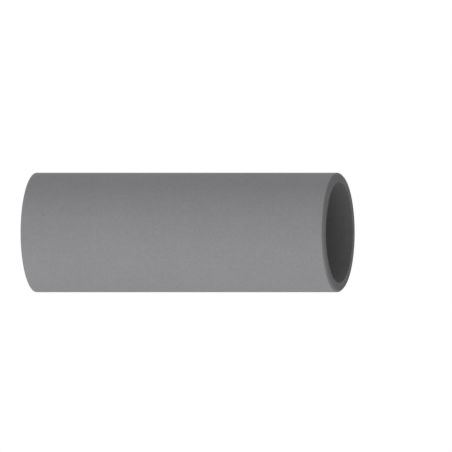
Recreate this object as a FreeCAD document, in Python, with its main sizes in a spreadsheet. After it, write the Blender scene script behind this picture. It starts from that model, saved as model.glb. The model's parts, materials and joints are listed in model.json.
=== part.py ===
"""Insulated round ventilation duct: one straight length of rigid closed-cell foam tube.

The foam wall is duct and insulation in one, moulded as a single piece. One end is cut square. The other
end has a small chamfer round its outside, so that a coupling sleeve slides over it without catching.

Frame, in millimetres: the duct lies on the XY plane, +X runs along it to the chamfered end, +Z is up, and
the origin is below its middle, where it touches the surface that it lies on.
"""

import FreeCAD, Part
import os
import Sketcher

PARTS_FOLDER = "parts"

# alias, value in millimetres, what it is
DRIVING_DIMENSIONS = (
    ("bore_diameter", 160.0, "air passage, which is the duct's nominal size"),
    ("wall_thickness", 15.0, "foam between the air passage and the outside"),
    ("duct_length", 500.0, "end face to end face"),
    ("lead_in_chamfer", 3.0, "both legs of the chamfer round the outside of one end"),
)

# How Sketcher numbers a circle's centre, and the sketch's own origin point.
CIRCLE_CENTRE = 3
SKETCH_ORIGIN = (-1, 1)

SAME_PLACE = 1e-6  # two positions nearer than this, in millimetres, are the same


def make_dimension_sheet(doc):
    """One row for each driving dimension: its name, its value under an alias, and what it is."""
    sheet = doc.addObject("Spreadsheet::Sheet", "Dimensions")
    for row, (alias, value, meaning) in enumerate(DRIVING_DIMENSIONS, start=1):
        sheet.set(f"A{row}", alias)
        sheet.set(f"B{row}", str(value))
        sheet.set(f"C{row}", meaning)
        sheet.setAlias(f"B{row}", alias)
    doc.recompute()


def origin_plane(body, role):
    """The body's own origin plane of that role, such as YZ_Plane."""
    return next(feature for feature in body.Origin.OriginFeatures if feature.Role == role)


def sketch_wall_section(body):
    """The wall across the duct: two circles about the duct's axis, the outside and the air passage."""
    sketch = body.newObject("Sketcher::SketchObject", "WallSection")
    sketch.AttachmentSupport = [(origin_plane(body, "YZ_Plane"), "")]
    sketch.MapMode = "FlatFace"

    # The circles can start at any size, because their diameters are bound to the sheet.
    centre, normal, start_radius = FreeCAD.Vector(0, 0, 0), FreeCAD.Vector(0, 0, 1), 1.0
    for name, expression in (
        ("outside_diameter", "Dimensions.bore_diameter + 2 * Dimensions.wall_thickness"),
        ("air_passage_diameter", "Dimensions.bore_diameter"),
    ):
        circle = sketch.addGeometry(Part.Circle(centre, normal, start_radius), False)
        sketch.addConstraint(Sketcher.Constraint("Coincident", circle, CIRCLE_CENTRE, *SKETCH_ORIGIN))
        diameter = sketch.addConstraint(Sketcher.Constraint("Diameter", circle, 2 * start_radius))
        sketch.renameConstraint(diameter, name)
        sketch.setExpression(f"Constraints.{name}", expression)
    return sketch


def outside_edge_of_end(shape, end_x):
    """Name of the largest circular edge in the end face at x = end_x."""
    largest, found = 0.0, None
    for number, edge in enumerate(shape.Edges, start=1):
        if not isinstance(edge.Curve, Part.Circle):
            continue
        if abs(edge.Curve.Center.x - end_x) < SAME_PLACE and edge.Curve.Radius > largest:
            largest, found = edge.Curve.Radius, f"Edge{number}"
    return found


def build_duct(doc):
    """The duct itself, as one solid: the wall's section along its whole length, chamfered at the +X end."""
    body = doc.addObject("PartDesign::Body", "Duct")
    body.Label = "foam_duct"

    section = sketch_wall_section(body)
    wall = body.newObject("PartDesign::Pad", "Wall")
    wall.Profile = section
    wall.SideType = "Symmetric"
    wall.setExpression("Length", "Dimensions.duct_length")
    doc.recompute()

    lead_in = body.newObject("PartDesign::Chamfer", "LeadIn")
    lead_in.Base = (wall, [outside_edge_of_end(wall.Shape, wall.Shape.BoundBox.XMax)])
    lead_in.ChamferType = "Equal distance"
    lead_in.setExpression("Size", "Dimensions.lead_in_chamfer")
    section.Visibility = False

    # Lying on the surface, so the axis is one outside radius above it.
    body.setExpression("Placement.Base.z", "Dimensions.bore_diameter / 2 + Dimensions.wall_thickness")
    doc.recompute()
    return body


def check(doc, bodies):
    """Stops the build if an object failed to compute, or a sub-part isn't one good solid."""
    for item in doc.Objects:
        if {"Invalid", "Error"} & set(item.State):
            raise RuntimeError(f"{item.Label} failed: {item.State}")
    for body in bodies:
        shape = body.Shape
        if shape.isNull() or not shape.isValid() or len(shape.Solids) != 1:
            raise RuntimeError(f"{body.Label} isn't one valid solid")


def main():
    doc = FreeCAD.newDocument("insulated_ventilation_duct")
    make_dimension_sheet(doc)
    bodies = [build_duct(doc)]
    check(doc, bodies)

    os.makedirs(PARTS_FOLDER, exist_ok=True)
    for body in bodies:
        body.Shape.exportStep(os.path.join(PARTS_FOLDER, f"{body.Label}.step"))
        box = body.Shape.BoundBox
        print(
            f"{body.Label}: {box.XLength:.1f} x {box.YLength:.1f} x {box.ZLength:.1f} mm,"
            f" {body.Shape.Volume / 1e6:.4f} litres of foam, lowest point z = {box.ZMin:.3f}"
        )


main()
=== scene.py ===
# %% [markdown]
# # A length of insulated ventilation duct
#
# The duct is a rigid round tube of moulded foam. The foam is the duct and its insulation in one, so
# there is no metal, no liner and no jacket: one piece and one finish. With so little to look at, three
# things carry it: the even curve of the tube, the softness of its rims, and the fine mosaic of foam
# beads in its skin.

# %% Load the frame
import json
import math

import bmesh
import bpy
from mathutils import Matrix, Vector


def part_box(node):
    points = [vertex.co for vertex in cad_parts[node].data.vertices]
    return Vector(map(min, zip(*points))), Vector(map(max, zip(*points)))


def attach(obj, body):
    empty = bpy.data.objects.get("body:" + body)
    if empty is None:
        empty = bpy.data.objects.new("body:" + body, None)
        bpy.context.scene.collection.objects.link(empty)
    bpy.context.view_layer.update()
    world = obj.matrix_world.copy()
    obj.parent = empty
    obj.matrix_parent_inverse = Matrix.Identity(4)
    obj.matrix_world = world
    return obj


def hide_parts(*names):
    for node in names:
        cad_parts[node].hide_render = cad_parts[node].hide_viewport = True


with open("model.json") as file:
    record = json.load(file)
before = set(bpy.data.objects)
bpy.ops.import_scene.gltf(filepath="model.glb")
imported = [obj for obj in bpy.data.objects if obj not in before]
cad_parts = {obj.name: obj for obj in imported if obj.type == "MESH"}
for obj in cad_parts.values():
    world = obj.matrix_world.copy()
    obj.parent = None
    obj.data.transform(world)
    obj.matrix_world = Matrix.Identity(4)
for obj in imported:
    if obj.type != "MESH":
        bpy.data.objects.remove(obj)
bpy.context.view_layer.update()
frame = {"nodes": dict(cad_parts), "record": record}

MM = 0.001
print("pieces in the frame:", ", ".join(frame["nodes"]))

# %% [markdown]
# ## The sizes that matter
#
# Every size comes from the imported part, so the model can't drift from it. The part's record states its
# mounts: the air passage that a coupling is pushed into, and the straight part of the outside that a
# pipe clip goes round. What the outside lacks of the whole length is the chamfer.

# %% Read the sizes
mounts = {mount["name"]: mount for mount in frame["record"]["mounts"]}
lowest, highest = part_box("foam_duct")

bore_radius = mounts["chamfered_end_bore"]["dims"]["r_mm"] * MM
outside_radius = mounts["outside"]["dims"]["r_mm"] * MM
axis_height = mounts["outside"]["pos_m"][2]
square_end, chamfered_end = lowest.x, highest.x
lead_in = (chamfered_end - square_end) - mounts["outside"]["dims"]["length_mm"] * MM

print(f"bore {bore_radius * 2 / MM:.0f} mm, outside {outside_radius * 2 / MM:.0f} mm")
print(f"chamfer {lead_in / MM:.1f} mm")

# %% [markdown]
# ## The tube
#
# A tube could be two cylinders, one cut from the other, but its rims would then be knife edges, and
# foam never has those: beads at an edge are rounded by the mould and soon knocked back by handling. So
# the wall's section is drawn as a loop of five corners, each corner is rounded, and the loop is spun
# once round the axis. The square outer rim is rounded most, because it has no chamfer to save it from
# knocks.

# %% Draw the wall's section
BORE_RIM = 0.6 * MM
OUTSIDE_RIM = 1.0 * MM
CHAMFER_RIM = 0.5 * MM
RIM_STEPS = 5

corners = {
    "square_end_bore": (square_end, bore_radius, BORE_RIM),
    "square_end_outside": (square_end, outside_radius, OUTSIDE_RIM),
    "chamfer_start": (chamfered_end - lead_in, outside_radius, CHAMFER_RIM),
    "chamfer_end": (chamfered_end, outside_radius - lead_in, CHAMFER_RIM),
    "chamfered_end_bore": (chamfered_end, bore_radius, BORE_RIM),
}

wall = bmesh.new()
section = {
    name: wall.verts.new((x, 0, axis_height + radius))
    for name, (x, radius, _) in corners.items()
}
loop = list(section.values())
for here, there in zip(loop, loop[1:] + loop[:1]):
    wall.edges.new((here, there))

# %% Round its corners
for name, (_, _, rounding) in corners.items():
    bmesh.ops.bevel(
        wall, geom=[section[name]], offset=rounding, offset_type="OFFSET", affect="VERTICES",
        segments=RIM_STEPS, profile=0.5, material=-1,
    )
print("points in the rounded section:", len(wall.verts))

# %% [markdown]
# The long edges are divided before the spin. Evenly shaped faces shade more evenly than slivers half a
# metre long, and a later change of shape would have something to hold on to.

# %% Divide it and spin it
FACE_LENGTH = 20 * MM
FACES_ROUND = 240
LITRE = 0.001  # in cubic metres

long_edges = [edge for edge in wall.edges if edge.calc_length() > 2 * FACE_LENGTH]
for edge in long_edges:
    bmesh.ops.subdivide_edges(wall, edges=[edge], cuts=round(edge.calc_length() / FACE_LENGTH) - 1)

bmesh.ops.spin(
    wall, geom=wall.verts[:] + wall.edges[:], cent=(0, 0, axis_height), axis=(1, 0, 0),
    angle=math.tau, steps=FACES_ROUND, use_merge=True,
)
bmesh.ops.recalc_face_normals(wall, faces=wall.faces)
for face in wall.faces:
    face.smooth = True
print(f"{len(wall.faces)} faces round {wall.calc_volume(signed=True) / LITRE:.3f} litres of foam")

# %% [markdown]
# The mesh becomes an object that takes the place of the plain CAD piece. Smooth shading would bend the
# flat ring of each end towards its rounded rims, so a Weighted Normal modifier lets the large faces
# decide: the ring stays flat and the rounding stays where it was made.

# %% Make the object
mesh = bpy.data.meshes.new("foam_duct_wall")
wall.to_mesh(mesh)
wall.free()

duct = bpy.data.objects.new("foam_duct_wall", mesh)
bpy.context.scene.collection.objects.link(duct)
keep_flats_flat = duct.modifiers.new("keep_flats_flat", "WEIGHTED_NORMAL")
keep_flats_flat.mode = "FACE_AREA"
keep_flats_flat.weight = 100

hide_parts("foam_duct")
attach(duct, "root")

# %% [markdown]
# ## Two helpers for materials
#
# Colours are written as the hex codes that a paint or web chart gives, and shaders want linear light.
# The second helper adds one node: its settings are plain arguments, and an input takes a value or
# another node's output.

# %% Helpers
def hex_to_linear(code):
    """An sRGB hex colour as the linear RGBA that shaders use."""
    channels = [int(code[i:i + 2], 16) / 255 for i in (0, 2, 4)]
    return [c / 12.92 if c <= 0.04045 else ((c + 0.055) / 1.055) ** 2.4 for c in channels] + [1.0]


def add_node(tree, kind, inputs=None, **settings):
    """Adds a node with its settings, and its inputs as values or links."""
    node = tree.nodes.new(kind)
    for name, value in settings.items():
        setattr(node, name, value)
    for name, value in (inputs or {}).items():
        if isinstance(value, bpy.types.NodeSocket):
            tree.links.new(value, node.inputs[name])
        else:
            node.inputs[name].default_value = value
    return node

# %% [markdown]
# ## Expanded polypropylene
#
# The foam is expanded polypropylene: grey beads blown into a mould and fused with steam. The mould
# presses each bead flat, so the skin is a mosaic of small rounded cells with hairline grooves between
# them, dull with a slight satin on each cell. To the eye that is a cool even grey that only shows its
# grain close up.
#
# A Voronoi texture is the natural choice, because its cells grow from scattered centres until they
# meet, just as the beads do. It is solid, so the same beads carry on over the rims and into the bore.
# Real beads are 3 to 5 mm across, and the upper end of that is used so that they still show from a
# distance.

# %% Bead sizes
BEAD_SIZE = 4.5 * MM
BEAD_SCATTER = 0.75
GROOVE_WIDTH = 0.5 * MM
CROWN_EDGE = 1.1 * MM
CROWN_HEIGHT = 0.1 * MM
SKIN_GRAIN = 0.6 * MM
STEAM_PATCH = 60 * MM

foam = bpy.data.materials.new("moulded_expanded_polypropylene")
foam.use_nodes = True
foam.node_tree.nodes.clear()
tree = foam.node_tree
place = add_node(tree, "ShaderNodeTexCoord").outputs["Object"]

# %% The beads and the grooves between them
beads = {"Vector": place, "Scale": 1 / BEAD_SIZE, "Randomness": BEAD_SCATTER}
bead_border = add_node(tree, "ShaderNodeTexVoronoi", beads, feature="DISTANCE_TO_EDGE")

# The texture measures distance in beads, so widths are divided by a bead's size.
bead_face = add_node(
    tree, "ShaderNodeMapRange",
    {"Value": bead_border.outputs["Distance"], "From Max": GROOVE_WIDTH / 2 / BEAD_SIZE},
    interpolation_type="SMOOTHSTEP",
)
bead_crown = add_node(
    tree, "ShaderNodeMapRange",
    {"Value": bead_border.outputs["Distance"], "From Max": CROWN_EDGE / BEAD_SIZE},
    interpolation_type="SMOOTHSTEP",
)
bead = add_node(tree, "ShaderNodeTexVoronoi", beads, feature="F1")

# %% [markdown]
# No two beads take the pigment or the steam alike, so each has a tone of its own, and larger patches
# drift a little lighter and darker. Both are within a few percent: more would look like stone.

# %% Tone
DARKEST_BEAD, LIGHTEST_BEAD = 0.965, 1.035
DARKEST_PATCH, LIGHTEST_PATCH = 0.985, 1.015
# The grooves between the beads are painted a tenth darker than the bead faces: painted shade in the
# hairline grooves.
GROOVE_PAINTED_SHADE, FACE_TONE = 0.9, 1.01
NOISE_LOW, NOISE_HIGH = 0.3, 0.7  # a noise texture seldom goes past these

bead_tone = add_node(
    tree, "ShaderNodeMapRange",
    {"Value": bead.outputs["Color"], "To Min": DARKEST_BEAD, "To Max": LIGHTEST_BEAD},
)
steam = add_node(tree, "ShaderNodeTexNoise", {"Vector": place, "Scale": 1 / STEAM_PATCH, "Detail": 2.0})
steam_tone = add_node(
    tree, "ShaderNodeMapRange",
    {"Value": steam.outputs["Fac"], "From Min": NOISE_LOW, "From Max": NOISE_HIGH,
     "To Min": DARKEST_PATCH, "To Max": LIGHTEST_PATCH},
)
# Painted shade: the foam colour is darkened in the grooves between the beads.
groove_painted_shade = add_node(
    tree, "ShaderNodeMapRange",
    {"Value": bead_face.outputs["Result"], "To Min": GROOVE_PAINTED_SHADE, "To Max": FACE_TONE},
)
patch_and_bead = add_node(
    tree, "ShaderNodeMath", {0: bead_tone.outputs["Result"], 1: steam_tone.outputs["Result"]},
    operation="MULTIPLY",
)
tone = add_node(
    tree, "ShaderNodeMath", {0: patch_and_bead.outputs["Value"], 1: groove_painted_shade.outputs["Result"]},
    operation="MULTIPLY",
)
foam_colour = add_node(
    tree, "ShaderNodeHueSaturation", {"Color": hex_to_linear("8E8E90"), "Value": tone.outputs["Value"]}
)

# %% [markdown]
# The relief is two bumps in a row: a fine grain that the mould's surface leaves, and the beads on top
# of it, each a low crown that falls away to its groove. Their heights are in real millimetres. The
# grooves are also a little duller than the pressed faces of the beads. Foam this rough reflects very
# little, even at a flat angle, so the specular level is well below that of solid polypropylene, whose
# IOR it keeps.

# %% Relief and gloss
GRAIN_HEIGHT = 0.03 * MM
GROOVE_ROUGHNESS, FACE_ROUGHNESS = 0.9, 0.72

grain = add_node(tree, "ShaderNodeTexNoise", {"Vector": place, "Scale": 1 / SKIN_GRAIN, "Detail": 3.0})
grain_relief = add_node(
    tree, "ShaderNodeBump", {"Height": grain.outputs["Fac"], "Strength": 0.5, "Distance": GRAIN_HEIGHT}
)
bead_relief = add_node(
    tree, "ShaderNodeBump",
    {"Height": bead_crown.outputs["Result"], "Strength": 1.0, "Distance": CROWN_HEIGHT,
     "Normal": grain_relief.outputs["Normal"]},
)
dullness = add_node(
    tree, "ShaderNodeMapRange",
    {"Value": bead_face.outputs["Result"], "To Min": GROOVE_ROUGHNESS, "To Max": FACE_ROUGHNESS},
)

# %% The shader
POLYPROPYLENE_IOR = 1.49
FOAM_GLOSS = 0.15

foam_shader = add_node(
    tree, "ShaderNodeBsdfPrincipled",
    {"Base Color": foam_colour.outputs["Color"], "Roughness": dullness.outputs["Result"],
     "Normal": bead_relief.outputs["Normal"], "IOR": POLYPROPYLENE_IOR, "Specular IOR Level": FOAM_GLOSS},
)
add_node(tree, "ShaderNodeOutputMaterial", {"Surface": foam_shader.outputs["BSDF"]})
duct.data.materials.append(foam)

# %% [markdown]
# ## The studio
#
# The duct lies on a pale glass table in a white room. The room's light comes mostly from the side of
# the square end, and a little from behind and from below through the table, so the chamfered end is in
# shade and the tube is lighter low down. One world shader makes that light: a gradient along a
# direction. The camera, and anything glossy or clear, sees the room as plain white instead.

# %% Directions seen from the camera
VIEW_ANGLE = math.radians(15.45)
to_right = Vector((math.cos(VIEW_ANGLE), math.sin(VIEW_ANGLE), 0))
to_camera = Vector((math.sin(VIEW_ANGLE), -math.cos(VIEW_ANGLE), 0))
up = Vector((0, 0, 1))

# %% The room's light
ROOM_DIM, ROOM_BRIGHT = 0.13, 1.55
LEAN_RIGHT, LEAN_TO_CAMERA, LEAN_UP = -0.95, -0.20, -0.23
brightest = (LEAN_RIGHT * to_right + LEAN_TO_CAMERA * to_camera + LEAN_UP * up).normalized()

room = bpy.data.worlds.new("white_room")
room.use_nodes = True
room.node_tree.nodes.clear()
bpy.context.scene.world = room

tree = room.node_tree
direction = add_node(tree, "ShaderNodeTexCoord").outputs["Generated"]
along = add_node(tree, "ShaderNodeVectorMath", {0: direction, 1: brightest}, operation="DOT_PRODUCT")

# The dot product runs from -1, facing away from the brightest part, to 1, facing it.
room_level = add_node(
    tree, "ShaderNodeMapRange",
    {"Value": along.outputs["Value"], "From Min": -1.0, "To Min": ROOM_DIM, "To Max": ROOM_BRIGHT},
)
room_light = add_node(tree, "ShaderNodeBackground", {"Strength": room_level.outputs["Result"]})


# %% What only the camera sees
def seen_directly(tree):
    """1 for a ray from the camera, or for one that a glossy or clear surface sends on; otherwise 0."""
    path = add_node(tree, "ShaderNodeLightPath").outputs
    either = add_node(
        tree, "ShaderNodeMath", {0: path["Is Camera Ray"], 1: path["Is Glossy Ray"]}, operation="MAXIMUM"
    )
    return add_node(
        tree, "ShaderNodeMath", {0: either.outputs["Value"], 1: path["Is Transmission Ray"]},
        operation="MAXIMUM",
    ).outputs["Value"]


white = add_node(tree, "ShaderNodeBackground", {"Color": hex_to_linear("FFFFFF"), "Strength": 1.0})
shown = add_node(
    tree, "ShaderNodeMixShader",
    {0: seen_directly(tree), 1: room_light.outputs["Background"], 2: white.outputs["Background"]},
)
add_node(tree, "ShaderNodeOutputWorld", {"Surface": shown.outputs["Shader"]})

# %% [markdown]
# ## The table
#
# A disc, wide enough to reach past every view. About half of its white is its own glow, as on a light
# table, and the rest is light that it scatters, so the duct still leaves a soft shadow on it. To the
# light that reaches the duct it is clear glass.

# %% Build the table
TABLE_RADIUS = 8.0
TABLE_SIDES = 96
TABLE_GLOW = 0.54

disc = bmesh.new()
bmesh.ops.create_circle(disc, cap_ends=True, segments=TABLE_SIDES, radius=TABLE_RADIUS)
table_mesh = bpy.data.meshes.new("glass_table")
disc.to_mesh(table_mesh)
disc.free()
table = bpy.data.objects.new("glass_table", table_mesh)
bpy.context.scene.collection.objects.link(table)

glass = bpy.data.materials.new("lit_opal_glass")
glass.use_nodes = True
glass.node_tree.nodes.clear()
tree = glass.node_tree
scatter = add_node(tree, "ShaderNodeBsdfDiffuse", {"Color": hex_to_linear("E8E8E8")})
glow = add_node(tree, "ShaderNodeEmission", {"Strength": TABLE_GLOW})
opal = add_node(tree, "ShaderNodeAddShader", {0: scatter.outputs["BSDF"], 1: glow.outputs["Emission"]})
clear = add_node(tree, "ShaderNodeBsdfTransparent")
table_surface = add_node(
    tree, "ShaderNodeMixShader",
    {0: seen_directly(tree), 1: clear.outputs["BSDF"], 2: opal.outputs["Shader"]},
)
add_node(tree, "ShaderNodeOutputMaterial", {"Surface": table_surface.outputs["Shader"]})
table.data.materials.append(glass)

# %% [markdown]
# ## Two softboxes
#
# Both fill the side that faces the camera. One hangs low at the front left, and the stronger one is
# under the glass, so the light climbs the tube from below and the top stays a tone darker.

# %% Hang the softboxes
SOFTBOX_WIDTH = 1.2
SOFTBOX_DISTANCE = 2.0
middle = Vector(((square_end + chamfered_end) / 2, 0, axis_height))


def softbox(name, turned, raised, power):
    """A square area lamp that faces the duct, turned from the camera's side and raised, both in degrees."""
    turned, raised = math.radians(turned), math.radians(raised)
    level = math.sin(turned) * to_right + math.cos(turned) * to_camera
    towards_lamp = math.cos(raised) * level + math.sin(raised) * up

    lamp = bpy.data.lights.new(name, "AREA")
    lamp.shape = "SQUARE"
    lamp.size = SOFTBOX_WIDTH
    lamp.energy = power
    holder = bpy.data.objects.new(name, lamp)
    holder.location = middle + SOFTBOX_DISTANCE * towards_lamp
    holder.rotation_euler = towards_lamp.to_track_quat("Z", "Y").to_euler()
    bpy.context.scene.collection.objects.link(holder)
    print(f"{name}: {power} W at {[round(value, 2) for value in holder.location]} m")


softbox("front_softbox", turned=-35, raised=8, power=2.9)
softbox("softbox_under_glass", turned=-25, raised=-35, power=8.1)

# %% [markdown]
# ## The camera
#
# The duct is shown as a catalogue would: level with it, turned a little so that its chamfered end
# shows, and with no perspective, which an orthographic camera gives. The duct sits left of the middle
# of the view.

# %% Place the camera
VIEW_WIDTH = 0.7187
CAMERA_DISTANCE = 2.5
AIM_RIGHT, AIM_UP = 0.0607, 0.0103
aim = middle + AIM_RIGHT * to_right + AIM_UP * up

camera = bpy.data.cameras.new("catalogue_view")
camera.type = "ORTHO"
camera.ortho_scale = VIEW_WIDTH
tripod = bpy.data.objects.new("catalogue_view", camera)
tripod.location = aim + CAMERA_DISTANCE * to_camera
tripod.rotation_euler = to_camera.to_track_quat("Z", "Y").to_euler()
bpy.context.scene.collection.objects.link(tripod)
bpy.context.scene.camera = tripod
bpy.context.scene.view_settings.view_transform = "Standard"
